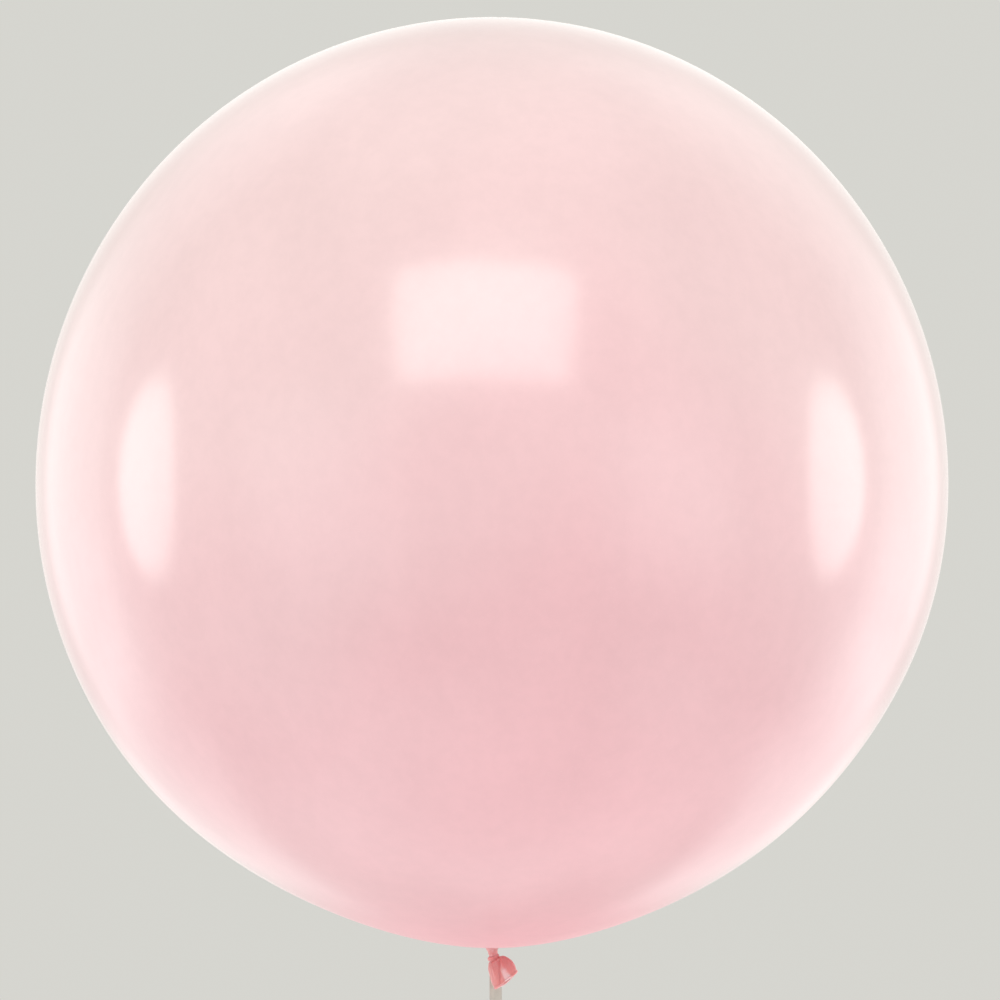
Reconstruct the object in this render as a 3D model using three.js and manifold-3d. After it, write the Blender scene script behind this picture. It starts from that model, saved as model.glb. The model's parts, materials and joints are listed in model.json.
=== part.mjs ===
// A giant round latex balloon, tied off with a knot and held on a satin ribbon.
// Millimetres, +Z up, front towards -Y. The origin is on the balloon's axis, where the neck leaves the bulb.

import * as THREE from 'three';
import { mergeVertices } from 'three/addons/utils/BufferGeometryUtils.js';
import Module from 'manifold-3d';

const wasm = await Module();
wasm.setup();

// ---------------------------------------------------------------- driving dimensions

const partGap = 0.3; // between neighbours that touch on the real object
const quarterTurn = Math.PI / 2;

// facets
const bulbSegments = 48; // round the bulb
const bulbSteps = 22; // from its neck to its crown
const neckSegments = 24;
const tailSegments = 28;
const beadSegments = 8; // round the lip's bead
const shoulderSteps = 7;
const loopSteps = 28;
const ballSegments = 16;
const ballRings = 10;

// bulb
const bulbRadius = 450;
const lowerRise = 457; // neck to the widest level
const upperRise = 461; // widest level to the crown
const filmThickness = 0.4; // stands in for a stretched film of about 0.02 mm
const neckTaper = 0.17; // how much slimmer than an ellipse the bulb is at its neck
const taperReach = 0.5; // radians away from the neck over which that slimming fades
const bulbOpeningRadius = 8;

// neck
const neckRadius = 5;
const neckLength = 6;
const neckWall = 1.2;
const neckFlare = 2.7; // how far the top widens into the bulb
const neckFlareDepth = 4;
const neckFlareSteps = 4;

// knot
const knotWidth = 11.5;
const knotDepth = 10.5;
const knotHeight = 9;
const knotX = 1.5;
const knotTilt = 0.4; // radians by which its two turns cross
const knotTurnRadius = 0.29; // as a share of the knot's width, as are the next two
const knotStrandRadius = 0.21;
const knotCoreRadius = 0.4;
const knotTop = -neckLength - partGap;
const knotBottom = knotTop - knotHeight;

// tail
const stemRadius = 2.2;
const tailPivot = new THREE.Vector3(2, -0.5, knotBottom - partGap - stemRadius);
const mouthCentre = new THREE.Vector3(14.5, -8, -33);
const flareTop = stemRadius + 0.6; // distance of the flare's top from the pivot
const flareLength = 16;
const flareShoulder = 9; // length over which the flare rounds out to its full width
const flareRadius = 14.4;
const flareFlatness = 0.75; // depth of the flare as a share of its width
const flareLean = 4; // sideways offset of the flare's top, which makes one side rounder
const flareWall = 0.8;
const lipBeadRadius = 1.1;

// ribbon
const ribbonWidth = 12;
const ribbonThickness = 0.8;
const ribbonX = 3.6;
const ribbonY = 8;
const hitchTop = -8;
const hitchBottom = -14.45;
const hitchTopWidth = 8;
const hitchWidth = 11;
const hitchFront = 5.8;
const hitchBack = 8.8;
const shortEndRadius = 20; // the curl of the cut end
const shortEndTurn = 0.77; // radians of that curl
const shortEndZ = -10.5;
const gatherRadius = ribbonWidth / 2;
const gatherThickness = 1.6;
const gatherPivotZ = hitchBottom - partGap - gatherRadius;
const gatherBottom = -27.3;
const streamerPivotZ = gatherBottom - partGap - ribbonThickness / 2;
const streamerBottom = -97.6;
const endKnotWidth = 13;
const endKnotDepth = 8;
const endKnotHeight = 10;
const endKnotTop = streamerBottom - partGap;
const loopPivotZ = endKnotTop - endKnotHeight - partGap - ribbonThickness;
const loopLength = 70;
const loopSwell = 19.5; // sets the loop's width, which is about one and a half times this

// ---------------------------------------------------------------- materials

function latexFilm() {
  return new THREE.MeshStandardMaterial({ color: 0xf4cdce, roughness: 0.22, metalness: 0 });
}

function latexThick() {
  return new THREE.MeshStandardMaterial({ color: 0xdf9897, roughness: 0.4, metalness: 0 });
}

function latexLip() {
  return new THREE.MeshStandardMaterial({ color: 0xe2a09f, roughness: 0.45, metalness: 0 });
}

function ribbonSatin() {
  return new THREE.MeshStandardMaterial({ color: 0xc4beb4, roughness: 0.35, metalness: 0 });
}

// ---------------------------------------------------------------- helpers

function named(name, geometry, material) {
  const mesh = new THREE.Mesh(geometry, material);
  mesh.name = name;
  return mesh;
}

// A lathe whose axis is +Z. Its outline starts on the inside and comes back up along the outside,
// or starts on the outside and comes back down along the inside, so that its faces look outwards.
function latheUp(outline, segments) {
  const geometry = new THREE.LatheGeometry(outline, segments);
  return geometry.rotateX(quarterTurn);
}

// A flat outline drawn in X and Z, given a thickness along Y about y = 0.
function plateFacingY(shape, thickness) {
  const geometry = new THREE.ExtrudeGeometry(shape, { depth: thickness, bevelEnabled: false });
  geometry.rotateX(quarterTurn);
  return geometry.translate(0, thickness / 2, 0);
}

// An outline drawn in Y and Z, run along X about x = 0.
function stripAlongX(shape, width) {
  const geometry = new THREE.ExtrudeGeometry(shape, { depth: width, bevelEnabled: false });
  const turn = new THREE.Matrix4().set(
    0, 0, 1, -width / 2,
    1, 0, 0, 0,
    0, 1, 0, 0,
    0, 0, 0, 1,
  );
  return geometry.applyMatrix4(turn);
}

function toSolid(geometry) {
  const bare = geometry.clone();
  bare.deleteAttribute('normal');
  bare.deleteAttribute('uv');
  const merged = mergeVertices(bare);
  return new wasm.Manifold(new wasm.Mesh({
    numProp: 3,
    vertProperties: merged.attributes.position.array,
    triVerts: Uint32Array.from(merged.index.array),
  }));
}

function fromSolid(solid) {
  const mesh = solid.getMesh();
  const geometry = new THREE.BufferGeometry();
  geometry.setAttribute('position', new THREE.BufferAttribute(mesh.vertProperties, 3));
  geometry.setIndex(new THREE.BufferAttribute(mesh.triVerts, 1));
  geometry.computeVertexNormals();
  return geometry;
}

// ---------------------------------------------------------------- balloon

// A point of the bulb's outline; the angle runs from 0 at the neck to PI at the crown.
function bulbPoint(angle, inset) {
  const rise = (angle < quarterTurn ? lowerRise : upperRise) - inset;
  const slimming = 1 - neckTaper * Math.exp(-((angle / taperReach) ** 2));
  const radius = (bulbRadius - inset) * Math.sin(angle) * slimming;
  return new THREE.Vector2(radius, lowerRise - rise * Math.cos(angle));
}

function bulb() {
  const openingAngle = bulbOpeningRadius / (bulbRadius * (1 - neckTaper));
  const outside = [];
  const inside = [];
  for (let i = 0; i <= bulbSteps; i += 1) {
    const angle = openingAngle + ((Math.PI - openingAngle) * i) / bulbSteps;
    outside.push(bulbPoint(angle, 0));
    inside.unshift(bulbPoint(angle, filmThickness));
  }
  return named('bulb', latheUp([...inside, ...outside], bulbSegments), latexFilm());
}

function neckPoint(depth, inset) {
  const spread = Math.max(0, 1 - depth / neckFlareDepth);
  return new THREE.Vector2(neckRadius + neckFlare * spread ** 2 - inset, -depth);
}

function neck() {
  const outside = [neckPoint(neckLength, 0)];
  const inside = [neckPoint(neckLength, neckWall)];
  for (let i = neckFlareSteps; i >= 0; i -= 1) {
    const depth = (neckFlareDepth * i) / neckFlareSteps;
    outside.push(neckPoint(depth, 0));
    inside.unshift(neckPoint(depth, neckWall));
  }
  const outline = [...outside, ...inside, outside[0].clone()];
  return named('neck', latheUp(outline, neckSegments), latexThick());
}

// One turn of the knot: a flattened ring round the vertical axis, tilted sideways.
function knotTurn(tilt) {
  const turn = new THREE.TorusGeometry(knotTurnRadius, knotStrandRadius, beadSegments, 20);
  return turn.rotateY(tilt);
}

// An overhand knot: two crossing turns round a core, which sets its height.
function knotGeometry(width, depth, height) {
  const core = new THREE.SphereGeometry(1, ballSegments, ballRings).rotateX(quarterTurn);
  core.scale(knotCoreRadius, knotCoreRadius, height / 2 / width);
  const turns = toSolid(knotTurn(knotTilt)).add(toSolid(knotTurn(-knotTilt)));
  const geometry = fromSolid(turns.add(toSolid(core)));
  return geometry.scale(width, depth, width);
}

function knot() {
  const mesh = named('knot', knotGeometry(knotWidth, knotDepth, knotHeight), latexThick());
  mesh.position.set(knotX, 0, (knotTop + knotBottom) / 2);
  return mesh;
}

function tailStem() {
  return named('tail_stem', new THREE.SphereGeometry(stemRadius, ballSegments, ballRings), latexThick());
}

// Half of the flare's outline, from its top on the axis down to the mouth: a round shoulder, then a skirt.
function flareOutline(radius, top) {
  const outline = [];
  for (let i = 0; i <= shoulderSteps; i += 1) {
    const along = 1 - Math.cos((quarterTurn * i) / shoulderSteps);
    const width = radius * Math.cbrt(1 - (1 - along) ** 3);
    outline.push(new THREE.Vector2(width, top + flareShoulder * along));
  }
  outline.push(new THREE.Vector2(radius, flareTop + flareLength));
  return outline;
}

// Flattens a piece of the flare front to back, and leans its top sideways.
function shapeFlare(geometry) {
  const position = geometry.attributes.position;
  for (let i = 0; i < position.count; i += 1) {
    const share = 1 - position.getZ(i) / (flareTop + flareLength);
    position.setX(i, position.getX(i) + flareLean * share);
    position.setY(i, position.getY(i) * flareFlatness);
  }
  return geometry;
}

function tailFlare() {
  const outside = flareOutline(flareRadius, flareTop);
  const inside = flareOutline(flareRadius - flareWall, flareTop + flareWall).reverse();
  return named('tail_flare', shapeFlare(latheUp([...outside, ...inside], tailSegments)), latexThick());
}

function rolledLip() {
  const radius = flareRadius - flareWall / 2;
  const bead = new THREE.TorusGeometry(radius, lipBeadRadius, beadSegments, tailSegments);
  bead.translate(0, 0, flareTop + flareLength + partGap + lipBeadRadius);
  return named('rolled_lip', shapeFlare(bead), latexLip());
}

// The tail's own axes: Z towards the mouth, X to the side in the plane of the front view.
function tailGroup() {
  const towardsMouth = mouthCentre.clone().sub(tailPivot).normalize();
  const sideways = new THREE.Vector3(-towardsMouth.z, 0, towardsMouth.x).normalize();
  const forwards = towardsMouth.clone().cross(sideways);
  const group = new THREE.Group();
  group.position.copy(tailPivot);
  group.setRotationFromMatrix(new THREE.Matrix4().makeBasis(sideways, forwards, towardsMouth));
  group.add(tailStem(), tailFlare(), rolledLip());
  return group;
}

// ---------------------------------------------------------------- ribbon

// The ribbon's folds where the knot grips them.
function ribbonHitch() {
  const shape = new THREE.Shape();
  shape.moveTo(-hitchTopWidth / 2, hitchTop);
  shape.lineTo(-hitchWidth / 2, hitchBottom);
  shape.lineTo(hitchWidth / 2, hitchBottom);
  shape.lineTo(hitchTopWidth / 2, hitchTop);
  const mesh = named('ribbon_hitch', plateFacingY(shape, hitchBack - hitchFront), ribbonSatin());
  mesh.position.set(ribbonX, (hitchFront + hitchBack) / 2, 0);
  return mesh;
}

// The cut end: it leaves the hitch backwards and curls down.
function ribbonShortEnd() {
  const outerRadius = shortEndRadius + ribbonThickness / 2;
  const innerRadius = shortEndRadius - ribbonThickness / 2;
  const shape = new THREE.Shape();
  shape.absarc(0, -shortEndRadius, outerRadius, quarterTurn, quarterTurn - shortEndTurn, true);
  shape.absarc(0, -shortEndRadius, innerRadius, quarterTurn - shortEndTurn, quarterTurn, false);
  const mesh = named('ribbon_short_end', stripAlongX(shape, ribbonWidth), ribbonSatin());
  mesh.position.set(ribbonX, hitchBack + partGap, shortEndZ);
  return mesh;
}

// The gathered stretch: its round top is centred on the axis on which the ribbon sways.
function ribbonGather() {
  const shape = new THREE.Shape();
  shape.moveTo(gatherRadius, 0);
  shape.absarc(0, 0, gatherRadius, 0, Math.PI, false);
  shape.lineTo(-gatherRadius, gatherBottom - gatherPivotZ);
  shape.lineTo(gatherRadius, gatherBottom - gatherPivotZ);
  const mesh = named('ribbon_gather', plateFacingY(shape, gatherThickness), ribbonSatin());
  mesh.position.set(ribbonX, ribbonY, gatherPivotZ);
  return mesh;
}

// The flat hanging length: its round top edge is centred on the axis on which it bends.
function ribbonStreamer() {
  const half = ribbonThickness / 2;
  const shape = new THREE.Shape();
  shape.moveTo(half, 0);
  shape.absarc(0, 0, half, 0, Math.PI, false);
  shape.lineTo(-half, streamerBottom - streamerPivotZ);
  shape.lineTo(half, streamerBottom - streamerPivotZ);
  const mesh = named('ribbon_streamer', stripAlongX(shape, ribbonWidth), ribbonSatin());
  mesh.position.set(ribbonX, ribbonY, streamerPivotZ);
  return mesh;
}

function ribbonEndKnot() {
  const geometry = knotGeometry(endKnotWidth, endKnotDepth, endKnotHeight);
  const mesh = named('ribbon_end_knot', geometry, ribbonSatin());
  mesh.position.set(ribbonX, ribbonY, endKnotTop - endKnotHeight / 2);
  return mesh;
}

// A point of the hand loop's drop shape, pushed outwards; the turn runs from 0 to 2 PI, clear of both ends.
function loopPoint(turn, outwards) {
  const half = loopLength / 2;
  const across = loopSwell * Math.sin(turn) * Math.sin(turn / 2);
  const down = half * (Math.cos(turn) - 1);
  const fallingPart = Math.cos(turn) * Math.sin(turn / 2);
  const risingPart = 0.5 * Math.sin(turn) * Math.cos(turn / 2);
  const acrossRate = loopSwell * (fallingPart + risingPart);
  const downRate = -half * Math.sin(turn);
  const outward = new THREE.Vector2(-downRate, acrossRate).normalize().multiplyScalar(outwards);
  return new THREE.Vector2(across, down).add(outward);
}

// The hand loop: the ribbon turned back into a drop. Its blunt top is centred on the axis on which it swings.
function ribbonHandLoop() {
  const outside = [new THREE.Vector2(0, ribbonThickness)];
  const inside = [new THREE.Vector2(0, 0)];
  for (let i = 1; i < loopSteps; i += 1) {
    const turn = (2 * Math.PI * i) / loopSteps;
    outside.push(loopPoint(turn, ribbonThickness));
    inside.push(loopPoint(turn, 0));
  }
  const drop = toSolid(stripAlongX(new THREE.Shape(outside), ribbonWidth));
  const hollow = toSolid(stripAlongX(new THREE.Shape(inside), 2 * ribbonWidth));
  const mesh = named('ribbon_hand_loop', fromSolid(drop.subtract(hollow)), ribbonSatin());
  mesh.position.set(ribbonX, ribbonY, loopPivotZ);
  return mesh;
}

// ---------------------------------------------------------------- assembly

const group = new THREE.Group();
group.add(bulb(), neck(), knot(), tailGroup());
group.add(ribbonHitch(), ribbonShortEnd(), ribbonGather());
group.add(ribbonStreamer(), ribbonEndKnot(), ribbonHandLoop());

export default group;
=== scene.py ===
"""A giant pink latex balloon on a satin ribbon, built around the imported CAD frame.

Lengths are metres. MM turns the millimetres used for small features into metres.
The balloon faces -Y, its neck leaves the bulb at the origin, and +Z runs up to the crown.
"""

import json
import math

import bpy
import numpy as np
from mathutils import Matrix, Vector, noise


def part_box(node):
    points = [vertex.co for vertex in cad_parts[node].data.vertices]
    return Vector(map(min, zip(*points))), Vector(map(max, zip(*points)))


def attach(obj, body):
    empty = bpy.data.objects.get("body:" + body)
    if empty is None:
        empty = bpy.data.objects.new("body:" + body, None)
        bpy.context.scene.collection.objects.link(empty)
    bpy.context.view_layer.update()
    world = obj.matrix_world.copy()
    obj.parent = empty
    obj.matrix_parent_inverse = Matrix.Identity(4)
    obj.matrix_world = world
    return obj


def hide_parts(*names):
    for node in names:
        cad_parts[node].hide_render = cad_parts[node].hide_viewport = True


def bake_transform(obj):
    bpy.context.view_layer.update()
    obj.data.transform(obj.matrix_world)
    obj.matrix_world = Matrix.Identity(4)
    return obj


MM = 0.001
QUARTER = math.pi / 2

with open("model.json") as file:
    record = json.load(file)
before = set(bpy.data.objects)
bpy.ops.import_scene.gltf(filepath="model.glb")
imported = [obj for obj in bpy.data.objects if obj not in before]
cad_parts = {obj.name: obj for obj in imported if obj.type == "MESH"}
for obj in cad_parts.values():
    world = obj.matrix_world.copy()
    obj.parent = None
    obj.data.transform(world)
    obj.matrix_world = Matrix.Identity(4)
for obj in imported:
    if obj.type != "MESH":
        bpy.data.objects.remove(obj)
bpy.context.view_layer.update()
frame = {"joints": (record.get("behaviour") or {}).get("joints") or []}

# ---------------------------------------------------------------- places taken from the frame

_, bulb_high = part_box("bulb")
knot_low, knot_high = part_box("knot")
hitch_low, hitch_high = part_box("ribbon_hitch")
gather_low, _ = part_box("ribbon_gather")
streamer_low, streamer_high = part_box("ribbon_streamer")
end_knot_low, end_knot_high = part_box("ribbon_end_knot")
loop_low, loop_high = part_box("ribbon_hand_loop")
short_low, short_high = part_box("ribbon_short_end")

JOINTS = {joint["name"]: joint for joint in frame["joints"]}
TAIL_PIVOT = np.array(JOINTS["tail_bend"]["pos_m"])
BEND_PIVOT = np.array(JOINTS["ribbon_bend"]["pos_m"])
LOOP_PIVOT = np.array(JOINTS["loop_swing"]["pos_m"])

BULB_RADIUS = bulb_high.x
CROWN = bulb_high.z
WIDEST = 0.4978 * CROWN  # height of the bulb's widest level
KNOT_CENTRE = np.array((knot_low + knot_high) / 2)
RIBBON_X = (streamer_low.x + streamer_high.x) / 2
RIBBON_Y = (streamer_low.y + streamer_high.y) / 2
RIBBON_WIDTH = streamer_high.x - streamer_low.x

# ---------------------------------------------------------------- sizes of the sheets

FILM_THICKNESS = 0.3 * MM
TAIL_THICKNESS = 0.45 * MM
RIBBON_THICKNESS = 0.34 * MM
WEAVE_PITCH = 0.34 * MM  # across the ribbon, from one warp thread to the next
FLOAT_PITCH = 0.42 * MM  # along it, from one float to the next
FLOOR_DROP = 1.7  # the floor's depth below the hand loop


# ---------------------------------------------------------------- mesh helpers


def smoothstep(low, high, value):
    """A smooth change from 0 at low to 1 at high, level beyond them; low may be the larger one."""
    t = np.clip((value - low) / (high - low), 0.0, 1.0)
    return t * t * (3 - 2 * t)


def curve_through(knots, at):
    """Smooth values at the given places, through (place, value) pairs, by cubic Hermite pieces."""
    x = np.array([k[0] for k in knots], float)
    y = np.array([k[1] for k in knots], float)
    slope = np.gradient(y, x)
    at = np.clip(np.asarray(at, float), x[0], x[-1])
    i = np.clip(np.searchsorted(x, at, side="right") - 1, 0, len(x) - 2)
    width = x[i + 1] - x[i]
    t = (at - x[i]) / width
    first = (2 * t**3 - 3 * t**2 + 1) * y[i] + (t**3 - 2 * t**2 + t) * width * slope[i]
    second = (-2 * t**3 + 3 * t**2) * y[i + 1] + (t**3 - t**2) * width * slope[i + 1]
    return first + second


def waves(angle, counts, seed):
    """An uneven wave round a circle: cosines of the given counts, each with its own phase and height."""
    draw = np.random.default_rng(seed)
    total = np.zeros_like(angle)
    for count in counts:
        total = total + draw.uniform(0.6, 1.0) * np.cos(count * angle + draw.uniform(0, 2 * math.pi))
    return total / len(counts)


def mesh_object(name, points, faces, uv=None):
    """A smooth-shaded object; uv gives each point its place on the flat material, in metres."""
    mesh = bpy.data.meshes.new(name)
    mesh.from_pydata([tuple(p) for p in points], [], [tuple(f) for f in faces])
    mesh.validate()
    mesh.polygons.foreach_set("use_smooth", [True] * len(mesh.polygons))
    if uv is not None:
        layer = mesh.uv_layers.new(name="lay")
        index = np.zeros(len(mesh.loops), np.int32)
        mesh.loops.foreach_get("vertex_index", index)
        layer.data.foreach_set("uv", np.asarray(uv, np.float32)[index].ravel())
    mesh.update()
    obj = bpy.data.objects.new(name, mesh)
    bpy.context.scene.collection.objects.link(obj)
    return obj


def tube_faces(rows, columns):
    """Faces of a grid that closes on itself round its rows."""
    faces = []
    for r in range(rows - 1):
        for c in range(columns):
            d = (c + 1) % columns
            faces.append((r * columns + c, r * columns + d, (r + 1) * columns + d, (r + 1) * columns + c))
    return faces


def tube_object(name, rings, cap_first=False, cap_last=False):
    """A skin over closed rings, given as rows x columns x 3 points. Its uv runs round and along it."""
    rows, columns = rings.shape[:2]
    points = list(rings.reshape(-1, 3))
    faces = tube_faces(rows, columns)
    along = np.concatenate([[0], np.cumsum(np.linalg.norm(np.diff(rings.mean(1), axis=0), axis=1))])
    middle = rings[rows // 2]
    girth = np.linalg.norm(np.roll(middle, -1, 0) - middle, axis=1).sum()
    uv = [(girth * abs(2 * c / columns - 1), along[r]) for r in range(rows) for c in range(columns)]
    if cap_first:
        points.append(rings[0].mean(0))
        uv.append((0, along[0]))
        faces += [((c + 1) % columns, c, len(points) - 1) for c in range(columns)]
    if cap_last:
        base = (rows - 1) * columns
        points.append(rings[-1].mean(0))
        uv.append((0, along[-1]))
        faces += [(base + c, base + (c + 1) % columns, len(points) - 1) for c in range(columns)]
    return mesh_object(name, points, faces, uv)


def frames_along(path):
    """Unit tangent, side and up vectors at each point of a path; the side stays as near +X as it can."""
    tangents = np.gradient(path, axis=0)
    tangents /= np.linalg.norm(tangents, axis=1)[:, None]
    sides = np.array([1.0, 0.0, 0.0]) - tangents * tangents[:, :1]
    sides /= np.linalg.norm(sides, axis=1)[:, None]
    return tangents, sides, np.cross(tangents, sides)


def closed_ring_tube(name, path, side_radius, up_radius, ridges=0.0, seed=1, columns=28):
    """A tube round a closed path, with an oval section and lengthwise ridges."""
    ahead = np.roll(path, -1, 0) - np.roll(path, 1, 0)
    tangents = ahead / np.linalg.norm(ahead, axis=1)[:, None]
    outward = path - path.mean(0)
    outward -= tangents * (outward * tangents).sum(1)[:, None]
    outward /= np.linalg.norm(outward, axis=1)[:, None]
    up = np.cross(tangents, outward)
    angle = np.linspace(0, 2 * math.pi, columns, endpoint=False)
    swell = 1 + ridges * waves(angle, (4, 7, 9), seed)
    section_side = side_radius * np.cos(angle) * swell
    section_up = up_radius * np.sin(angle) * swell
    rings = path[:, None] + outward[:, None] * section_side[:, None] + up[:, None] * section_up[:, None]
    points = rings.reshape(-1, 3)
    rows = len(path)
    faces = tube_faces(rows, columns)
    for c in range(columns):
        d = (c + 1) % columns
        faces.append(((rows - 1) * columns + c, (rows - 1) * columns + d, d, c))
    around = np.concatenate([[0], np.cumsum(np.linalg.norm(np.diff(path, axis=0), axis=1))])
    uv = [(c * 2 * up_radius / columns, around[r]) for r in range(rows) for c in range(columns)]
    return mesh_object(name, points, faces, uv)


def merged_skin(name, parts, voxel, rounds):
    """One continuous skin over overlapping closed parts, which are removed; smoothed a few rounds."""
    points, faces = [], []
    for part in parts:
        base = len(points)
        points += [v.co.copy() for v in part.data.vertices]
        faces += [[base + i for i in p.vertices] for p in part.data.polygons]
        bpy.data.objects.remove(part)
    rough = mesh_object(name + "_rough", points, faces)
    remesh = rough.modifiers.new("skin", "REMESH")
    remesh.mode = "VOXEL"
    remesh.voxel_size = voxel
    remesh.use_smooth_shade = True
    soften = rough.modifiers.new("soften", "SMOOTH")
    soften.factor = 0.5
    soften.iterations = rounds
    graph = bpy.context.evaluated_depsgraph_get()
    mesh = bpy.data.meshes.new_from_object(rough.evaluated_get(graph))
    bpy.data.objects.remove(rough)
    mesh.name = name
    mesh.polygons.foreach_set("use_smooth", [True] * len(mesh.polygons))
    obj = bpy.data.objects.new(name, mesh)
    bpy.context.scene.collection.objects.link(obj)
    return obj


def crumple(obj, height, size, stretch=(1.0, 1.0, 1.0)):
    """Moves each point along its normal by smooth noise, stretched by a factor on each axis."""
    mesh = obj.data
    normals = [n.vector.copy() for n in mesh.vertex_normals]
    for vertex, normal in zip(mesh.vertices, normals):
        place = Vector([vertex.co[k] / (size * stretch[k]) for k in range(3)])
        vertex.co += normal * height * noise.noise(place)
    mesh.update()


def give_thickness(obj, thickness, offset=-1.0):
    """Turns an open skin into a closed sheet and keeps the result in its mesh."""
    solid = obj.modifiers.new("thickness", "SOLIDIFY")
    solid.thickness = thickness
    solid.offset = offset
    solid.use_even_offset = False
    graph = bpy.context.evaluated_depsgraph_get()
    mesh = bpy.data.meshes.new_from_object(obj.evaluated_get(graph))
    obj.modifiers.clear()
    obj.data = mesh


# ---------------------------------------------------------------- material helpers


class Nodes:
    """A small helper that adds nodes to the tree of a new material or of a light, and links them."""

    def __init__(self, owner, shader="Principled BSDF"):
        self.owner = owner
        owner.use_nodes = True
        self.tree = owner.node_tree
        self.shader = self.tree.nodes[shader]

    def add(self, kind, inputs=None, **settings):
        node = self.tree.nodes.new(kind)
        for key, value in settings.items():
            setattr(node, key, value)
        for key, value in (inputs or {}).items():
            self.feed(node.inputs[key], value)
        return node

    def feed(self, socket, value):
        if isinstance(value, bpy.types.NodeSocket):
            self.tree.links.new(value, socket)
        else:
            socket.default_value = value

    def math(self, operation, first, second=0.0, clamp=False):
        node = self.add("ShaderNodeMath", {0: first, 1: second}, operation=operation, use_clamp=clamp)
        return node.outputs[0]

    def span(self, value, low, high, to_low=0.0, to_high=1.0):
        inputs = {"Value": value, "From Min": low, "From Max": high, "To Min": to_low, "To Max": to_high}
        return self.add("ShaderNodeMapRange", inputs, interpolation_type="SMOOTHSTEP").outputs[0]

    def mix(self, share, first, second, blend="MIX"):
        node = self.add("ShaderNodeMix", data_type="RGBA", blend_type=blend)
        self.feed(node.inputs[0], share)
        self.feed(node.inputs[6], first)
        self.feed(node.inputs[7], second)
        return node.outputs[2]

    def grain(self, place, scale, detail=2.0, roughness=0.5, stretch=(1, 1, 1)):
        spread = self.add("ShaderNodeMapping", {"Vector": place, "Scale": stretch})
        inputs = {"Vector": spread.outputs[0], "Scale": scale, "Detail": detail, "Roughness": roughness}
        return self.add("ShaderNodeTexNoise", inputs).outputs[0]

    def bump(self, height, distance, strength=1.0, normal=None):
        node = self.add("ShaderNodeBump", {"Height": height, "Distance": distance, "Strength": strength})
        if normal is not None:
            self.feed(node.inputs["Normal"], normal)
        return node.outputs[0]

    def grey(self, value):
        return self.add("ShaderNodeCombineColor", {0: value, 1: value, 2: value}).outputs[0]

    def set(self, **values):
        for key, value in values.items():
            self.feed(self.shader.inputs[key.replace("_", " ")], value)


def rgb(red, green, blue):
    """An opaque colour in linear light."""
    return (red, green, blue, 1.0)


# ---------------------------------------------------------------- materials


def film_ramp(n):
    """The film's colours, from the neck at 0 to the crown at 1."""
    ramp = n.add("ShaderNodeValToRGB")
    stops = ramp.color_ramp
    stops.interpolation = "EASE"
    stops.elements[0].color = rgb(0.86, 0.465, 0.515)
    stops.elements[1].color = rgb(0.875, 0.64, 0.658)
    for position, colour in (
        (0.08, rgb(0.855, 0.43, 0.482)),
        (0.20, rgb(0.86, 0.462, 0.513)),
        (0.42, rgb(0.87, 0.512, 0.56)),
        (0.60, rgb(0.875, 0.565, 0.605)),
        (0.80, rgb(0.875, 0.62, 0.645)),
    ):
        stops.elements.new(position).color = colour
    return ramp


def film_material():
    """Stretched latex: pale at the crown, deeper towards the neck, with faint runs and mottling, and painted
    side light that pales it towards its left and right.
    """
    n = Nodes(bpy.data.materials.new("latex_film"))
    place = n.add("ShaderNodeTexCoord").outputs["Object"]
    axes = n.add("ShaderNodeSeparateXYZ", {0: place})
    height = n.math("DIVIDE", axes.outputs["Z"], CROWN)
    ramp = film_ramp(n)
    # Painted light: the film is painted paler towards its left and right sides, where side light falls, and
    # deepest a little right of its middle, where its front lies in shade.
    aside = n.math("ABSOLUTE", n.math("SUBTRACT", axes.outputs["X"], 0.09))
    painted_side_light = n.span(aside, -0.05, 0.32, 0.0, 0.24)
    uneven = n.span(n.grain(place, 2.2, detail=1.5), 0.3, 0.7, -0.035, 0.035)
    n.feed(ramp.inputs[0], n.math("ADD", height, n.math("ADD", painted_side_light, uneven)))
    runs = n.grain(place, 9.0, detail=3.0, stretch=(1, 1, 0.12))
    mottle = n.grain(place, 60.0, detail=4.0, roughness=0.65)
    tone = n.math("MULTIPLY", n.span(runs, 0.3, 0.7, 0.975, 1.02), n.span(mottle, 0.3, 0.7, 0.985, 1.012))
    coloured = n.mix(1.0, ramp.outputs[0], n.grey(tone), "MULTIPLY")
    gather = n.span(axes.outputs["Z"], -1.3 * MM, 0.9 * MM, 0.9, 0.0)
    crown = n.span(axes.outputs["Z"], CROWN - 1.2 * MM, CROWN, 0.0, 0.35)
    deeper = n.math("ADD", gather, crown, clamp=True)
    coloured = n.mix(deeper, coloured, rgb(0.78, 0.36, 0.37))
    dust = n.add("ShaderNodeTexVoronoi", {"Vector": place, "Scale": 260.0, "Randomness": 1.0}, feature="F1")
    speck = n.span(dust.outputs["Distance"], 0.05, 0.12, 0.35, 0.0)
    coloured = n.mix(speck, coloured, rgb(0.93, 0.76, 0.75))
    haze = n.grain(place, 5.0, detail=3.0)
    skin = n.grain(place, 900.0, detail=2.0)
    ripple = n.grain(place, 26.0, detail=2.0)
    normal = n.bump(skin, 0.05 * MM, 0.35)
    normal = n.bump(ripple, 0.6 * MM, 0.25, normal)
    matte_by_neck = n.span(axes.outputs["Z"], 0, 100 * MM, 0.42, 0.0)
    n.set(
        Base_Color=coloured,
        Roughness=n.math("ADD", n.span(haze, 0.3, 0.7, 0.30, 0.38), matte_by_neck),
        IOR=1.5,
        Coat_Weight=n.span(axes.outputs["Z"], 8 * MM, 80 * MM, 0.05, 1.0),
        Coat_Roughness=0.12,
        Coat_IOR=1.55,
        Sheen_Weight=0.22,
        Sheen_Roughness=0.35,
        Sheen_Tint=rgb(1.0, 0.93, 0.90),
        Normal=normal,
    )
    return n.owner


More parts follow.
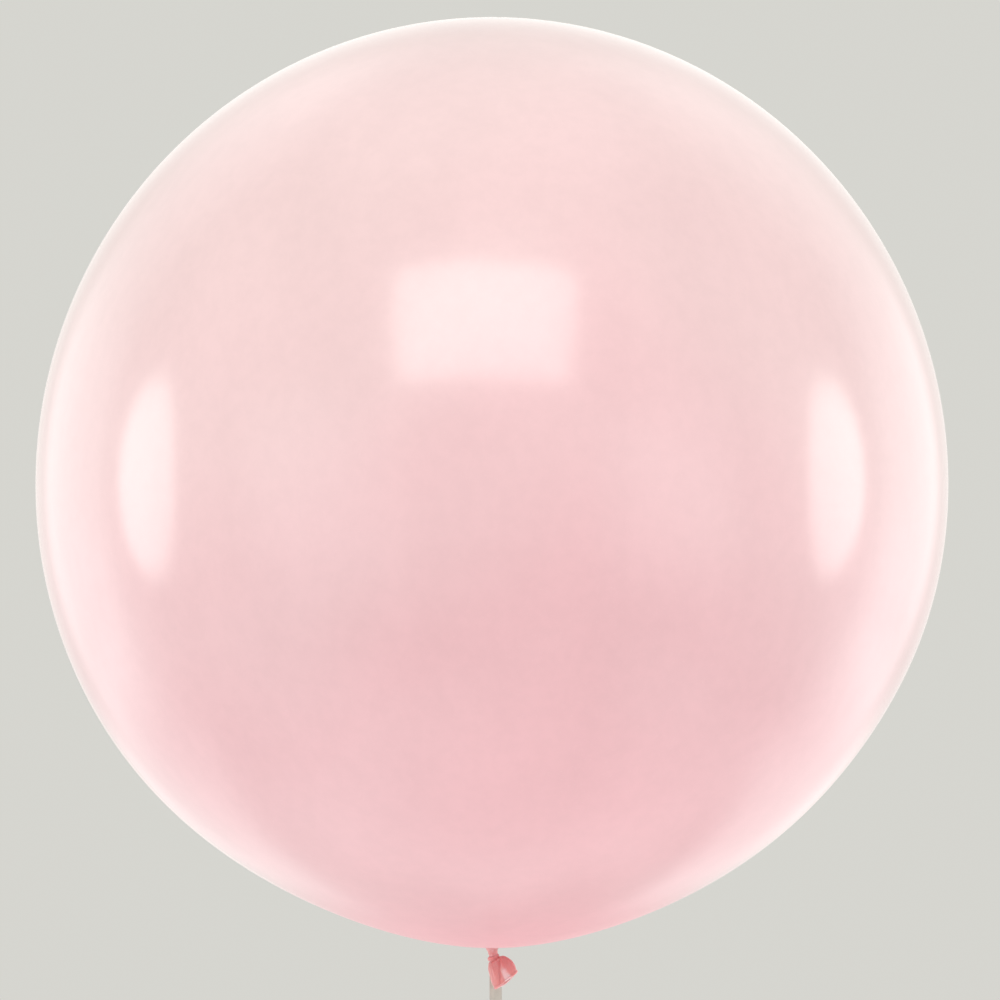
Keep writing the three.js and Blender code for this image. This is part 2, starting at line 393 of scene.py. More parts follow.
def thick_latex_material(name, deep, pale, pale_from, pale_to):
    """Unstretched latex: deep pink, paler where the sheet thins towards the tail's mouth, and paler still
    where painted light is laid over shade on the neck and inside the tail.
    """
    n = Nodes(bpy.data.materials.new(name))
    lay = n.add("ShaderNodeTexCoord").outputs["UV"]
    place = n.add("ShaderNodeTexCoord").outputs["Object"]
    # Painted light as well as thinning: this value pales the colour where the sheet thins, where a painted
    # glow of light through it lies near the tail's mouth, and where shade falls on the neck and inside the
    # tail.
    thinness_and_painted_light = n.add("ShaderNodeAttribute", attribute_name="thinness_and_painted_light").outputs["Fac"]
    cloud = n.grain(place, 180.0, detail=3.0)
    uneven = n.math("ADD", thinness_and_painted_light, n.span(cloud, 0.3, 0.7, -0.12, 0.12))
    coloured = n.mix(n.span(uneven, pale_from, pale_to), deep, pale)
    fine = n.grain(place, 1400.0, detail=3.0, roughness=0.6)
    tone = n.span(fine, 0.3, 0.7, 0.94, 1.05)
    coloured = n.mix(1.0, coloured, n.grey(tone), "MULTIPLY")
    creases = n.grain(lay, 900.0, detail=3.0, stretch=(1, 0.18, 1))
    normal = n.bump(creases, 0.25 * MM, 0.5)
    normal = n.bump(fine, 0.08 * MM, 0.4, normal)
    n.set(
        Base_Color=coloured,
        Roughness=n.span(cloud, 0.3, 0.7, 0.34, 0.46),
        IOR=1.5,
        Coat_Weight=0.25,
        Coat_Roughness=0.2,
        Subsurface_Weight=0.6,
        Subsurface_Radius=(2.6 * MM, 1.1 * MM, 0.9 * MM),
        Subsurface_Scale=1.0,
        Normal=normal,
    )
    return n.owner


def satin_material():
    """Satin ribbon: long floats across a fine warp, denser woven edges, and a little wear."""
    n = Nodes(bpy.data.materials.new("ribbon_satin"))
    lay = n.add("ShaderNodeTexCoord").outputs["UV"]
    axes = n.add("ShaderNodeSeparateXYZ", {0: lay})
    across, along = axes.outputs["X"], axes.outputs["Y"]
    warp = n.math("SINE", n.math("MULTIPLY", across, 2 * math.pi / WEAVE_PITCH))
    diagonal = n.math("ADD", n.math("MULTIPLY", across, 0.55), along)
    floats = n.math("SINE", n.math("MULTIPLY", diagonal, 2 * math.pi / FLOAT_PITCH))
    weave = n.math("MULTIPLY", warp, floats)
    middle = n.math("ABSOLUTE", n.math("SUBTRACT", across, RIBBON_WIDTH / 2))
    edge = n.span(middle, RIBBON_WIDTH / 2 - 1.1 * MM, RIBBON_WIDTH / 2 - 0.8 * MM)
    slub = n.grain(lay, 320.0, detail=3.0, stretch=(1, 0.05, 1))
    cloud = n.grain(lay, 45.0, detail=2.0)
    tone = n.math("ADD", n.span(weave, -1.0, 1.0, -0.045, 0.045), n.span(slub, 0.3, 0.7, -0.04, 0.04))
    tone = n.math("ADD", tone, n.span(cloud, 0.3, 0.7, 0.97, 1.03))
    tone = n.math("SUBTRACT", tone, n.math("MULTIPLY", edge, 0.05))
    grey = n.grey(tone)
    coloured = n.mix(1.0, rgb(0.60, 0.59, 0.53), grey, "MULTIPLY")
    normal = n.bump(weave, 0.02 * MM, 0.5)
    normal = n.bump(slub, 0.05 * MM, 0.3, normal)
    n.set(
        Base_Color=coloured,
        Roughness=n.span(slub, 0.3, 0.7, 0.36, 0.48),
        Sheen_Weight=0.25,
        Sheen_Roughness=0.4,
        Specular_IOR_Level=0.6,
        Normal=normal,
    )
    return n.owner


def dress(obj, material, body=None, replaces=()):
    """Gives a piece its material and slot, the CAD nodes that it stands for, and its body."""
    obj.data.materials.clear()
    obj.data.materials.append(material)
    if replaces:
        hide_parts(*replaces)
    if body:
        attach(obj, body)
    return obj


def set_thinness_and_painted_light(obj, values):
    """Stores how pale the latex is painted at each point, from 0 to 1, for its material to read: paler where
    the sheet thins, and paler as painted light over shade.
    """
    attribute = obj.data.attributes.new("thinness_and_painted_light", "FLOAT", "POINT")
    attribute.data.foreach_set("value", np.asarray(values, np.float32))


# ---------------------------------------------------------------- bulb


def bulb_outline(angle):
    """Radius and height of the bulb at an angle that runs from 0 at the neck to pi at the crown."""
    rise = np.where(angle < QUARTER, WIDEST, CROWN - WIDEST)
    slimming = 1 - 0.17 * np.exp(-((angle / 0.5) ** 2))
    return BULB_RADIUS * np.sin(angle) * slimming, WIDEST - rise * np.cos(angle)


def neck_pleats(turn):
    """The gathers that run from the bulb's opening into the neck."""
    return waves(turn, (11, 17, 23), 5)


def build_bulb():
    """The inflated film, a little flatter low on its right side, with pleats where it enters the neck."""
    columns, rows = 224, 128
    throat_angle = 0.025
    share = np.linspace(0, 1, rows) ** 1.5
    angle = throat_angle + (math.pi - 0.004 - throat_angle) * share
    radius, height = bulb_outline(angle)
    throat_radius = np.array([5.5, 5.8, 6.05, 6.35, 6.75, 7.3, 8.2]) * MM
    throat_height = np.array([-2.3, -1.7, -1.2, -0.8, -0.42, -0.12, 0.07]) * MM
    radius = np.concatenate([throat_radius, radius])
    height = np.concatenate([throat_height, height])
    turn = np.linspace(0, 2 * math.pi, columns, endpoint=False)
    flat_side = np.exp(-(((height - 0.17 * CROWN) / (0.13 * CROWN)) ** 2))
    squeeze = 1 - 0.014 * flat_side[:, None] * np.clip(np.cos(turn), 0, 1)[None] ** 1.5
    near = np.exp(-((radius / (34 * MM)) ** 2))
    pleats = near[:, None] * neck_pleats(turn)[None]
    spread = radius[:, None] * squeeze * (1 + 0.035 * pleats)
    drop = height[:, None] + 0.45 * MM * pleats * smoothstep(8 * MM, 15 * MM, radius)[:, None]
    rings = np.stack([spread * np.cos(turn), spread * np.sin(turn), drop + 0 * turn], axis=2)
    obj = tube_object("bulb_film", rings, cap_last=True)
    give_thickness(obj, FILM_THICKNESS)
    return dress(obj, film_material(), "balloon", ["bulb"])


# ---------------------------------------------------------------- neck, knot and tail


def build_neck(material):
    """The pinched, twisted neck between the bulb and the knot."""
    columns, rows = 120, 44
    depth = np.linspace(-0.6 * MM, 9.8 * MM, rows)
    turn = np.linspace(0, 2 * math.pi, columns, endpoint=False)
    waist = [(-0.6, 6.4), (0, 6.35), (0.6, 6.2), (1.2, 6.0), (3, 5.1), (5, 4.6), (8, 4.3), (9.8, 3.3)]
    radius = curve_through([(d * MM, r * MM) for d, r in waist], depth)
    twisted = turn[None] + np.clip(depth - 1 * MM, 0, None)[:, None] * 65
    pleat_depth = 0.035 + 0.055 * smoothstep(1 * MM, 4 * MM, depth)
    spread = radius[:, None] * (1 + pleat_depth[:, None] * neck_pleats(twisted))
    lean = 1.3 * MM * smoothstep(1 * MM, 8 * MM, depth)
    x, y = spread * np.cos(turn) + lean[:, None], spread * np.sin(turn)
    rings = np.stack([x, y, 0 * x - depth[:, None]], axis=2)
    obj = tube_object("neck_gather", rings[::-1])
    # Painted light: the whole neck is painted paler, lifting the shade it lies in under the bulb.
    set_thinness_and_painted_light(obj, np.full(len(obj.data.vertices), 0.42))
    return dress(obj, material, "balloon", ["neck"])


def knot_ring(tilt, swing, radius, rise):
    """A closed ring round the knot's upright axis, tilted sideways and swung forwards."""
    turn = np.linspace(0, 2 * math.pi, 72, endpoint=False)
    x = radius * np.cos(turn)
    y = radius * 0.92 * np.sin(turn)
    z = x * math.tan(tilt) + y * math.tan(swing) + rise
    return np.stack([x, y, z], axis=1)


def build_knot(material):
    """The overhand knot: the rolled neck turned twice round its own strand and pulled tight."""
    centre = KNOT_CENTRE
    over = knot_ring(0.42, 0.12, 3.55 * MM, 0.7 * MM) + centre
    under = knot_ring(-0.36, -0.10, 3.30 * MM, -1.6 * MM) + centre
    strand_height = np.linspace(-7.0, 4.4, 40) * MM
    thickness = [(-7.0, 3.1), (-3.0, 3.9), (2.0, 3.9), (4.4, 3.5)]
    strand_radius = curve_through([(h * MM, r * MM) for h, r in thickness], strand_height)
    turn = np.linspace(0, 2 * math.pi, 64, endpoint=False)
    ridges = 1 + 0.06 * waves(turn[None] + strand_height[:, None] * 90, (7, 12), 3)
    spread = strand_radius[:, None] * ridges
    x, y = spread * np.cos(turn), spread * np.sin(turn)
    strand = centre + np.stack([x, y, strand_height[:, None] + 0 * x], axis=2)
    parts = [
        closed_ring_tube("over", over, 2.35 * MM, 2.15 * MM, 0.09, 21),
        closed_ring_tube("under", under, 2.25 * MM, 2.3 * MM, 0.09, 22),
        tube_object("strand", strand, True, True),
    ]
    obj = merged_skin("knot_wraps", parts, 0.24 * MM, 2)
    crumple(obj, 0.16 * MM, 1.1 * MM, (1.0, 1.0, 2.4))
    set_thinness_and_painted_light(obj, np.zeros(len(obj.data.vertices)))
    return dress(obj, material, "balloon", ["knot"])


def tail_axes():
    """The tail's own directions: along towards its mouth, side to the right and up, and forwards."""
    lip_low, lip_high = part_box("rolled_lip")
    mouth = np.array((lip_low + lip_high) / 2)
    along = mouth - TAIL_PIVOT
    along /= np.linalg.norm(along)
    side = np.array([-along[2], 0, along[0]])
    side /= np.linalg.norm(side)
    return along, side, np.cross(along, side)


# The flare's right and left edges, in millimetres from its axis, at distances along that axis.
FLARE_RIGHT = [(-4.2, 7.2), (-2, 12.3), (0, 13.9), (4.3, 15.8), (9.6, 16.9), (15, 16.2), (19, 14.6)]
FLARE_LEFT = [(-4.2, -3.6), (-2, -5.4), (0, -6.8), (4.3, -8.6), (9.6, -11.0), (15, -12.8), (19, -13.2)]
FLARE_FRONT = [(-4.2, 2.6), (-2, 5.2), (0, 7.6), (4.3, 8.8), (9.6, 9.4), (15, 9.0), (19, 7.8)]
FLARE_BACK = [(-4.2, 2.6), (-2, 3.8), (0, 5.0), (4.3, 7.2), (9.6, 8.6), (15, 8.8), (19, 8.2)]


def flare_rings(along_mm, turn, inset=0.0):
    """Points of the flared tail, round its axis at each distance along it."""
    along, side, forward = tail_axes()
    right = curve_through(FLARE_RIGHT, along_mm)[:, None] - inset
    left = curve_through(FLARE_LEFT, along_mm)[:, None] + inset
    front = curve_through(FLARE_FRONT, along_mm)[:, None] - inset
    back = curve_through(FLARE_BACK, along_mm)[:, None] - inset
    centre, half = (right + left) / 2, (right - left) / 2
    depth = np.where(np.sin(turn)[None] > 0, front, back)
    open_share = smoothstep(-4, 19, along_mm)[:, None]
    pleats = waves(turn[None] - 0.012 * along_mm[:, None], (9, 14, 21), 31) * (1 - open_share) ** 0.8 * 0.085
    ripples = waves(turn[None], (3, 5, 8), 37) * open_share * 0.035
    swell = 1 + pleats + ripples
    s = (centre + half * np.cos(turn)[None] * swell) * MM
    f = depth * np.sin(turn)[None] * swell * MM
    uneven = 0.7 * waves(turn, (2, 3, 5), 41) + 3.6 * np.clip(np.sin(turn), 0, 1)
    a = (along_mm[:, None] + open_share**3 * uneven[None]) * MM
    points = TAIL_PIVOT + a[..., None] * along + s[..., None] * side + f[..., None] * forward
    # A long fold down the front, where the sheet doubles beside its straight left edge.
    fold_x = 7.2 * MM + 0.06 * (-9 * MM - points[..., 2])
    valley = np.exp(-(((points[..., 0] - fold_x) / (1.5 * MM)) ** 2))
    facing = smoothstep(0.05, 0.5, np.sin(turn))[None]
    ease = smoothstep(-3, 3, along_mm)[:, None] * (1 - 0.55 * smoothstep(12, 19, along_mm)[:, None])
    points[..., 1] += 2.1 * MM * valley * facing * ease
    return points


def flare_thinness_and_painted_light(along_mm, turn):
    """How pale the tail's sheet is painted: palest near its mouth right of the front fold, where the sheet
    thins and a painted glow of light through it lies, and behind, where painted light lifts the shade inside
    the flare.
    """
    degrees = np.degrees(turn)
    # Painted light: the front wedge is a painted glow of light through the sheet near its mouth, partly its
    # thinning there; the sector behind is painted paler against the shade inside the flare.
    front = smoothstep(52, 78, degrees) * (1 - smoothstep(88, 100, degrees))
    behind = smoothstep(195, 230, degrees) * (1 - smoothstep(320, 345, degrees))
    front_ramp = smoothstep(3, 18.5, along_mm)[:, None]
    behind_ramp = smoothstep(5, 18, along_mm)[:, None]
    return np.maximum(front[None] * front_ramp, 0.8 * behind[None] * behind_ramp)


def build_tail(thick, lip_material):
    """The flared tail, its pinched root and the rolled bead round its mouth."""
    along, _, _ = tail_axes()
    columns = 168
    turn = np.linspace(0, 2 * math.pi, columns, endpoint=False)
    along_mm = np.concatenate([[-5.4, -5.0], np.linspace(-4.2, 18.6, 58)])
    rings = flare_rings(np.maximum(along_mm, -4.2), turn)
    centre = rings[2].mean(0)
    for row, shrink, sink in ((0, 0.55, 0.5), (1, 0.85, 0.15)):
        rings[row] = centre + (rings[2] - centre) * shrink - along * sink * MM
    flare = tube_object("tail_skin", rings)
    set_thinness_and_painted_light(flare, flare_thinness_and_painted_light(along_mm, turn).ravel())
    give_thickness(flare, TAIL_THICKNESS)
    dress(flare, thick, replaces=["tail_flare"])
    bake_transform(flare)

    root_path = np.linspace(-4.8 * MM, 1.4 * MM, 26)
    spreading = [(-4.8, 3.2), (-1.0, 3.0), (0.6, 2.8), (1.4, 2.1)]
    root_radius = curve_through([(a * MM, r * MM) for a, r in spreading], root_path)
    folds = waves(turn[None] + root_path[:, None] * 40, (9, 14), 51)
    spread = root_radius[:, None] * (1 + 0.1 * folds)
    _, side, forward = tail_axes()
    across = np.cos(turn)[None, :, None] * side + 0.85 * np.sin(turn)[None, :, None] * forward
    rings = TAIL_PIVOT + root_path[:, None, None] * along + spread[..., None] * across
    root = tube_object("tail_pleats", rings, True, True)
    set_thinness_and_painted_light(root, np.zeros(len(root.data.vertices)))
    dress(root, thick, replaces=["tail_stem"])
    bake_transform(root)

    around = np.linspace(0, 2 * math.pi, 160, endpoint=False)
    rim = flare_rings(np.array([18.9]), around, 0.2)[0]
    lip = closed_ring_tube("lip_bead", rim, 0.95 * MM, 1.05 * MM, 0.07, 61, 24)
    set_thinness_and_painted_light(lip, np.repeat(flare_thinness_and_painted_light(np.array([18.0]), around)[0], 24))
    dress(lip, lip_material, "tail", ["rolled_lip"])


# ---------------------------------------------------------------- ribbon


def ribbon_strip(name, path, width, pleat=0.0, cup=0.0, slant=0.0, start_length=0.0, open_ends=()):
    """A flat ribbon along a path in metres.

    Width, pleat depth and cup, the height by which the edges stand forward, are one number or one for
    each point of the path. The uv runs across the full width and along the length, so that the weave
    lies along the ribbon. An end named in open_ends, 0 or 1, goes on in another piece and has no edge.
    """
    columns = 49
    rows = len(path)
    width = np.broadcast_to(width, rows)
    pleat = np.broadcast_to(pleat, rows)
    cup = np.broadcast_to(cup, rows)
    tangents, sides, ups = frames_along(path)
    across = np.linspace(-1, 1, columns)
    fold = waves(math.pi * across, (6, 9, 13), 71)
    lengths = np.concatenate([[0], np.cumsum(np.linalg.norm(np.diff(path, axis=0), axis=1))]) + start_length
    points, uv = [], []
    for face in (1, -1):
        for r in range(rows):
            for c in range(columns):
                u = across[c]
                selvedge = 1 + 0.55 * math.exp(-(((1 - abs(u)) / 0.05) ** 2))
                lift = pleat[r] * fold[c] + cup[r] * (u * u - 0.33) + face * RIBBON_THICKNESS / 2 * selvedge
                reach = u * width[r] / 2
                shift = slant * (u + 1) / 2 * smoothstep(0.2, 1.0, r / (rows - 1))
                points.append(path[r] + sides[r] * reach + ups[r] * lift + tangents[r] * shift)
                uv.append(((u + 1) / 2 * RIBBON_WIDTH, lengths[r] + shift))
    faces = []
    back = rows * columns
    for r in range(rows - 1):
        for c in range(columns - 1):
            i = r * columns + c
            faces.append((i, i + columns, i + columns + 1, i + 1))
            faces.append((back + i, back + i + 1, back + i + columns + 1, back + i + columns))
        for i, flip in ((r * columns, False), (r * columns + columns - 1, True)):
            wall = (i, back + i, back + i + columns, i + columns)
            faces.append(wall[::-1] if flip else wall)
    closed = [end for end in (0, 1) if end not in open_ends]
    for c in range(columns - 1):
        for end in closed:
            i = end * (rows - 1) * columns + c
            wall = (i, back + i, back + i + 1, i + 1)
            faces.append(wall if end else wall[::-1])
    return mesh_object(name, points, faces, uv)


def smooth_path(knots, count):
    """A smooth path with evenly spaced points through a list of points in metres."""
    knots = np.array(knots, float)
    steps = np.concatenate([[0], np.cumsum(np.linalg.norm(np.diff(knots, axis=0), axis=1))])
    fine = np.linspace(0, steps[-1], 400)
    line = np.stack([curve_through(list(zip(steps, knots[:, k])), fine) for k in range(3)], axis=1)
    reached = np.concatenate([[0], np.cumsum(np.linalg.norm(np.diff(line, axis=0), axis=1))])
    even = np.linspace(0, reached[-1], count)
    return np.stack([np.interp(even, reached, line[:, k]) for k in range(3)], axis=1)


def straight_down(top, bottom, count):
    """Points of the hanging ribbon's middle line between two heights."""
    height = np.linspace(top, bottom, count)
    return np.stack([np.full(count, RIBBON_X), np.full(count, RIBBON_Y), height], axis=1)


# Heights at which one ribbon is cut into pieces that follow different bodies.
HITCH_END = hitch_low.z - 2.2 * MM
GATHER_END = BEND_PIVOT[2] + 4 * MM
STREAMER_END = end_knot_high.z - 3.2 * MM


def gathered_width(height):
    """The ribbon's width near the knot, where its folds let go as it comes down."""
    share = smoothstep(hitch_high.z - 4 * MM, hitch_low.z - 5 * MM, height)
    return RIBBON_WIDTH * (0.62 + 0.38 * share)


def gathered_pleat(height):
    """The depth of the ribbon's folds near the knot."""
    return 1.25 * MM * (1 - smoothstep(hitch_high.z - 3 * MM, gather_low.z + 1 * MM, height))


def pinch_at_knot(height):
    """0 away from the end knot, rising to 1 where the ribbon enters it from above or below."""
    above = 1 - smoothstep(end_knot_high.z - 1.5 * MM, end_knot_high.z + 6 * MM, height)
    below = smoothstep(end_knot_low.z - 7 * MM, end_knot_low.z + 1.5 * MM, height)
    return above * below


# Where the ribbon's hitch and cut end run into the knot.
INSIDE_Y = KNOT_CENTRE[1] + 3.0 * MM
HITCH_MIDDLE = (hitch_low.z + hitch_high.z) / 2


def build_hitch(satin):
    """The folded part of the ribbon that is caught in the knot."""
    hitch_path = smooth_path(
        [
            (RIBBON_X - 1.6 * MM, INSIDE_Y + 1.6 * MM, HITCH_MIDDLE + 1.6 * MM),
            (RIBBON_X - 0.8 * MM, INSIDE_Y + 2.8 * MM, HITCH_MIDDLE + 1.0 * MM),
            (RIBBON_X - 0.2 * MM, RIBBON_Y - 0.3 * MM, HITCH_MIDDLE - 1.8 * MM),
            (RIBBON_X, RIBBON_Y, hitch_low.z),
            (RIBBON_X, RIBBON_Y, HITCH_END),
        ],
        30,
    )
    width, pleat = gathered_width(hitch_path[:, 2]), gathered_pleat(hitch_path[:, 2])
    hitch = ribbon_strip("ribbon_fold", hitch_path, width, pleat, open_ends=[1])
    return dress(hitch, satin, "balloon", ["ribbon_hitch"])


def build_gather(satin):
    """The gathered stretch just below the knot."""
    gather_path = straight_down(HITCH_END, GATHER_END, 24)
    width, pleat = gathered_width(gather_path[:, 2]), gathered_pleat(gather_path[:, 2])
    gather = ribbon_strip("ribbon_pleats", gather_path, width, pleat, start_length=12 * MM, open_ends=[0, 1])
    dress(gather, satin, replaces=["ribbon_gather"])
    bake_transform(gather)
    return gather


def build_streamer(satin):
    """The flat length that hangs down, and the path of its middle line."""
    streamer_path = straight_down(GATHER_END, STREAMER_END, 130)
    height = streamer_path[:, 2]
    pinch = pinch_at_knot(height)
    loose = smoothstep(GATHER_END, GATHER_END - 15 * MM, height) * (1 - pinch)
    streamer_path[:, 1] += 0.3 * MM * loose * np.sin((height - GATHER_END) * 95)
    width = gathered_width(height) * (1 - 0.34 * pinch)
    pleat = gathered_pleat(height) + 0.9 * MM * pinch
    streamer = ribbon_strip(
        "ribbon_length", streamer_path, width, pleat, 0.22 * MM * loose, start_length=20 * MM, open_ends=[0]
    )
    dress(streamer, satin, replaces=["ribbon_streamer"])
    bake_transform(streamer)
    return streamer, streamer_path


def build_short_end(satin):
    """The cut end that sticks out behind the knot."""
    short_path = smooth_path(
        [
            (RIBBON_X - 1.2 * MM, INSIDE_Y - 1.5 * MM, HITCH_MIDDLE - 0.6 * MM),
            (RIBBON_X - 0.4 * MM, short_low.y - 0.6 * MM, short_high.z - 0.7 * MM),
            (RIBBON_X, short_low.y + 5 * MM, short_high.z - 1.1 * MM),
            (RIBBON_X + 0.2 * MM, short_low.y + 9.5 * MM, short_high.z - 2.9 * MM),
            (RIBBON_X + 0.3 * MM, short_high.y - 1.5 * MM, short_low.z + 0.6 * MM),
        ],
        44,
    )
    progress = np.linspace(0, 1, len(short_path))
    short_width = RIBBON_WIDTH * (0.4 + 0.6 * smoothstep(0.12, 0.6, progress))
    short_pleat = 0.7 * MM * (1 - smoothstep(0.2, 0.65, progress))
    short = ribbon_strip(
        "ribbon_cut_end", short_path, short_width, short_pleat, slant=-3.2 * MM, start_length=90 * MM
    )
    return dress(short, satin, "balloon", ["ribbon_short_end"])


def build_ribbon(satin):
    """One ribbon from the knot down: hitch, gather, streamer, end knot, hand loop, and the cut end."""
    hitch = build_hitch(satin)
    gather = build_gather(satin)
    streamer, streamer_path = build_streamer(satin)
    short = build_short_end(satin)
    end_knot = build_end_knot(satin)
    loop = build_hand_loop(satin)


def build_end_knot(satin):
    """The ribbon's overhand knot: a folded band turned round its own gathered core."""
    centre = np.array((end_knot_low + end_knot_high) / 2)
    half = (end_knot_high.z - end_knot_low.z) / 2
    turn = np.linspace(0, 2 * math.pi, 56, endpoint=False)
    share = np.linspace(-1, 1, 26)
    swell = np.sqrt(np.clip(1.02 - share**2, 0, 1))
    ridged = swell[:, None] * (1 + 0.1 * waves(turn[None] + share[:, None], (8, 13), 83))
    across, forward = 3.8 * MM * ridged * np.cos(turn), 2.0 * MM * ridged * np.sin(turn)
    upward = (half - 0.6 * MM) * share[:, None] + 0 * across
    core = tube_object("core", centre + np.stack([across, forward, upward], axis=2), True, True)
    bands = []
    for tilt, rise, radius, seed in ((0.62, 0.9, 4.2, 81), (-0.45, -1.4, 3.7, 82)):
        ring = knot_ring(tilt, 0.1, radius * MM, rise * MM)
        ring[:, 1] *= 0.62
        bands.append(closed_ring_tube(f"band_{seed}", ring + centre, 0.85 * MM, 2.3 * MM, 0.2, seed, 48))
    obj = merged_skin("ribbon_knot", [core, *bands], 0.22 * MM, 1)
    crumple(obj, 0.12 * MM, 0.8 * MM, (3.0, 3.0, 1.0))
    add_box_uv(obj)
    return dress(obj, satin, "ribbon", ["ribbon_end_knot"])


def add_box_uv(obj):
    """Lays the weave over a knot as seen from the front."""
    layer = obj.data.uv_layers.new(name="lay")
    for loop in obj.data.loops:
        place = obj.data.vertices[loop.vertex_index].co
        layer.data[loop.index].uv = (place.x - RIBBON_X + RIBBON_WIDTH / 2 + 0.4 * place.y, place.z)


def build_hand_loop(satin):
    """The loop below the end knot: the ribbon turned back on itself in a drop shape."""
    top = LOOP_PIVOT[2] + 3.4 * MM
    length = top - loop_low.z - 0.3 * MM
    swell = 0.56 * (loop_high.y - loop_low.y)
    turn = np.linspace(0.14, 2 * math.pi - 0.14, 170)
    y = RIBBON_Y + swell * np.sin(turn) * np.sin(turn / 2)
    z = top - length / 2 * (1 - np.cos(turn))
    path = np.stack([np.full_like(turn, RIBBON_X), y, z], axis=1)
    path[:, 0] += 0.5 * MM * np.sin(turn * 2)
    away = smoothstep(0.0, 18 * MM, top - z)
    width = RIBBON_WIDTH * (0.6 + 0.4 * away)
    pleat = 0.55 * MM * (1 - away)
    obj = ribbon_strip("ribbon_loop", path, width, pleat, 0.2 * MM * away, start_length=110 * MM)
    dress(obj, satin, replaces=["ribbon_hand_loop"])
    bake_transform(obj)
    return obj


# ---------------------------------------------------------------- stage, light and camera

PICTURE_SHARE = 0.9105  # the bulb's width as a share of the picture's
CAMERA_DISTANCE = 6.0
PICTURE_WIDTH = 2 * BULB_RADIUS / PICTURE_SHARE
AIM = Vector((0.008 * PICTURE_WIDTH, 0, 0.4815 * CROWN))


def build_camera():
    """A long lens, level with the bulb's middle, that looks along +Y."""
    data = bpy.data.cameras.new("camera")
    camera = bpy.data.objects.new("camera", data)
    bpy.context.scene.collection.objects.link(camera)
    data.sensor_width = 36
    data.lens = data.sensor_width * CAMERA_DISTANCE / PICTURE_WIDTH
    data.clip_end = 60
    camera.location = AIM - Vector((0, CAMERA_DISTANCE, 0))
    camera.rotation_euler = (QUARTER, 0, 0)
    bpy.context.scene.camera = camera


def softbox(name, azimuth, elevation, distance, size, radiance, fade, rounded=False, tint=(1, 1, 1)):
    """A light whose face fades out towards its edges, aimed at the bulb's middle.

    Azimuth 0 is in front and 90 is to the right, in degrees. The fade is the share of its half width
    and of its half height over which it goes dark. The tint is the colour of the whole light.
    """
    data = bpy.data.lights.new(name, "AREA")
    data.shape = "ELLIPSE" if rounded else "RECTANGLE"
    data.size, data.size_y = size
    data.color = tint
    face = size[0] * size[1] * (math.pi / 4 if rounded else 1)
    data.energy = radiance * math.pi * face
    n = Nodes(data, "Emission")
    place = n.add("ShaderNodeNewGeometry").outputs["Parametric"]
    to_middle = {0: place, 1: (2, 2, 0), 2: (-1, -1, 0)}
    centred = n.add("ShaderNodeVectorMath", to_middle, operation="MULTIPLY_ADD")
    if rounded:
        reach = n.add("ShaderNodeVectorMath", {0: centred.outputs[0]}, operation="LENGTH").outputs["Value"]
        shine = n.span(reach, 1 - fade[0], 1.0, 1.0, 0.0)
    else:
        axes = n.add("ShaderNodeSeparateXYZ", {0: centred.outputs[0]})
        shares = []
        for axis in (0, 1):
            reach = n.math("ABSOLUTE", axes.outputs[axis])
            shares.append(n.span(reach, 1 - fade[axis], 1.0, 1.0, 0.0))
        shine = n.math("MULTIPLY", *shares)
    n.feed(n.shader.inputs["Strength"], shine)
    lamp = bpy.data.objects.new(name, data)
    bpy.context.scene.collection.objects.link(lamp)
    a, e = math.radians(azimuth), math.radians(elevation)
    away = Vector((math.sin(a) * math.cos(e), -math.cos(a) * math.cos(e), math.sin(e)))
    lamp.location = Vector((0, 0, WIDEST)) + away * distance
    lamp.rotation_euler = away.to_track_quat("Z", "Y").to_euler()
    lamp.visible_camera = False


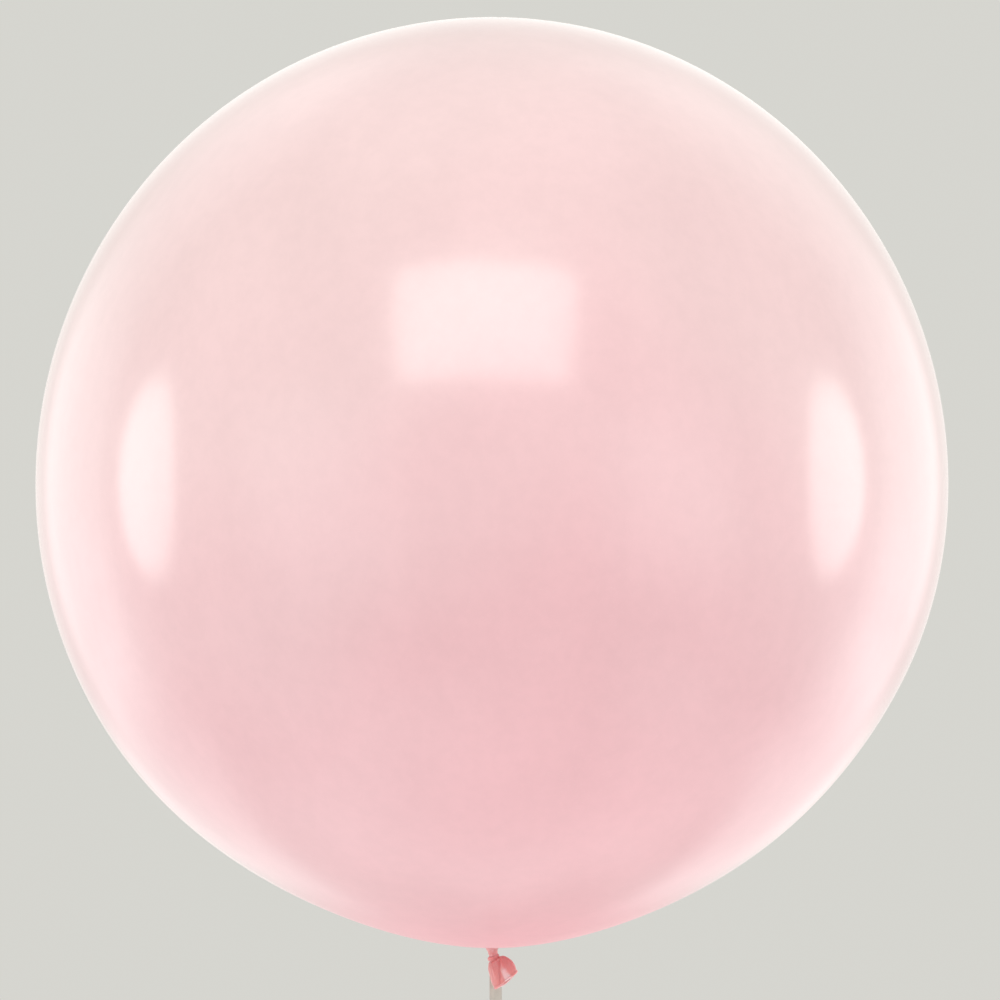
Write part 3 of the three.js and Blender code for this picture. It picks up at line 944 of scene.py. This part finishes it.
def build_lights():
    """Soft studio light: a key above, broad fills in front, a tall box and pale panels at each side."""
    warm = (1.0, 0.99, 0.95)
    softbox("key", -2, 36, 2.5, (2.05, 1.45), 2.5, (0.30, 0.35), tint=warm)
    softbox("overhead", 180, 72, 3.2, (5.5, 5.5), 0.30, (0.7, 0.7))
    softbox("reflector", 0, -78, 1.5, (3.4, 2.6), 0.46, (0.7, 0.7))
    softbox("back", 180, 0, 3.6, (7.0, 6.0), 0.26, (0.7, 0.7), rounded=True)
    softbox("high_back", 180, 26, 3.6, (4.6, 2.8), 0.26, (0.8, 0.8))
    for side, turn, gain in (("left", -1, 1.0), ("right", 1, 1.1)):
        softbox(f"{side}_fill", 42 * turn, -4, 3.4, (3.4, 3.8), 0.68, (0.8, 0.8))
        softbox(f"{side}_low_fill", 56 * turn, -36, 2.6, (2.6, 2.2), 0.26, (0.9, 0.9))
        softbox(f"{side}_box", 88 * turn, 1, 2.5, (1.05, 1.75), 2.7, (0.35, 0.35), rounded=True, tint=warm)
        softbox(f"{side}_rim", 125 * turn, 0, 3.2, (2.8, 4.4), 0.66 * gain, (0.5, 0.8))
        softbox(f"{side}_high_rim", 132 * turn, 42, 3.2, (3.2, 2.8), 0.36, (0.8, 0.8))
        softbox(f"{side}_low_side", 108 * turn, -18, 2.6, (2.2, 2.0), 0.40 * gain, (0.9, 0.9))
        softbox(f"{side}_low_rim", 134 * turn, -34, 1.9, (2.5, 1.35), 0.46 * gain, (0.6, 0.5))


def build_world():
    """A plain pale room, the same all round."""
    world = bpy.data.worlds.new("room")
    bpy.context.scene.world = world
    world.use_nodes = True
    background = world.node_tree.nodes["Background"]
    background.inputs["Color"].default_value = rgb(0.672, 0.668, 0.628)
    background.inputs["Strength"].default_value = 1.0


def build_floor():
    """A plain pale floor well below the balloon, whose far rim fades into the room."""
    radius = 12.0
    columns, rows = 96, 12
    turn = np.linspace(0, 2 * math.pi, columns, endpoint=False)
    reach = np.linspace(0.05, 1.0, rows) * radius
    level = loop_low.z - FLOOR_DROP
    x, y = reach[:, None] * np.cos(turn), reach[:, None] * np.sin(turn)
    rings = np.stack([x, y, np.full((rows, columns), level)], axis=2)
    floor = tube_object("floor", rings, cap_first=True)
    n = Nodes(bpy.data.materials.new("floor_paint"))
    place = n.add("ShaderNodeTexCoord").outputs["Object"]
    flat = n.add("ShaderNodeVectorMath", {0: place, 1: (1, 1, 0)}, operation="MULTIPLY").outputs[0]
    away = n.add("ShaderNodeVectorMath", {0: flat}, operation="LENGTH").outputs["Value"]
    tone = n.span(n.grain(place, 1.5, detail=3.0), 0.3, 0.7, 0.76, 0.79)
    n.set(
        Base_Color=n.grey(tone),
        Roughness=0.7,
        Alpha=n.span(away, 0.55 * radius, 0.98 * radius, 1.0, 0.0),
    )
    floor.data.materials.append(n.owner)


# ---------------------------------------------------------------- assembly

bpy.context.scene.view_settings.view_transform = "Standard"
bpy.context.scene.view_settings.look = "None"

build_camera()
thick = thick_latex_material("latex_thick", rgb(0.76, 0.30, 0.30), rgb(0.95, 0.61, 0.64), 0.15, 0.95)
lip_finish = thick_latex_material("latex_lip", rgb(0.78, 0.34, 0.34), rgb(0.94, 0.60, 0.62), 0.1, 0.9)
build_ribbon(satin_material())
build_bulb()
build_neck(thick)
build_knot(thick)
build_tail(thick, lip_finish)
build_floor()
build_world()
build_lights()
